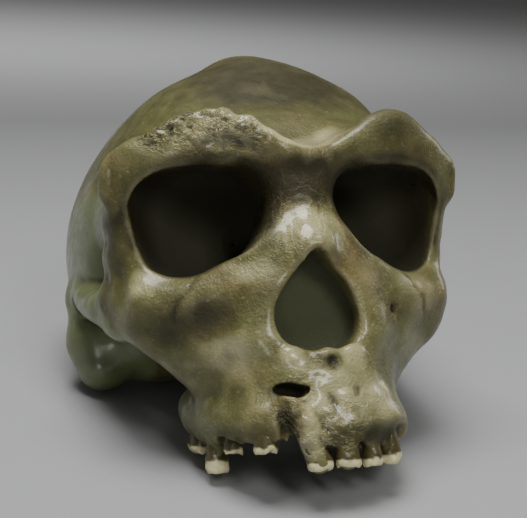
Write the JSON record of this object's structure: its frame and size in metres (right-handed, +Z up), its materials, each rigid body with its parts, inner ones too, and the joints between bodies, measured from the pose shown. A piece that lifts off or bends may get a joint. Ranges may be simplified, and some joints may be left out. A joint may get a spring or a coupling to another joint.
{
  "type": "hominin skull cast",
  "caption": "Life-size painted cast of an archaic human cranium with heavy brow ridge, large orbits and broken teeth, without a lower jaw.",
  "frame": {"origin": "centre of the bounding box, at the bottom, where the resting skull meets its support", "axes": "+Z up, -Y towards the face, +X towards the skull's left side; the skull lies tipped back on its third molars and the back of its head"},
  "size_m": [0.1512, 0.2362, 0.1422],
  "materials": {
    "painted_cast": "olive-brown painted resin cast with a soft gloss",
    "filled_plaster": "smooth grey-green painted filling, glossy"
  },
  "bodies": {
    "root": {"frontal": "painted_cast", "maxilla": "painted_cast", "occipital": "painted_cast", "parietal_left": "painted_cast", "parietal_right": "painted_cast", "sphenoid": "filled_plaster", "temporal_left": "painted_cast", "temporal_right": "filled_plaster", "zygomatic_left": "painted_cast", "zygomatic_right": "painted_cast"}
  },
  "joints": []
}
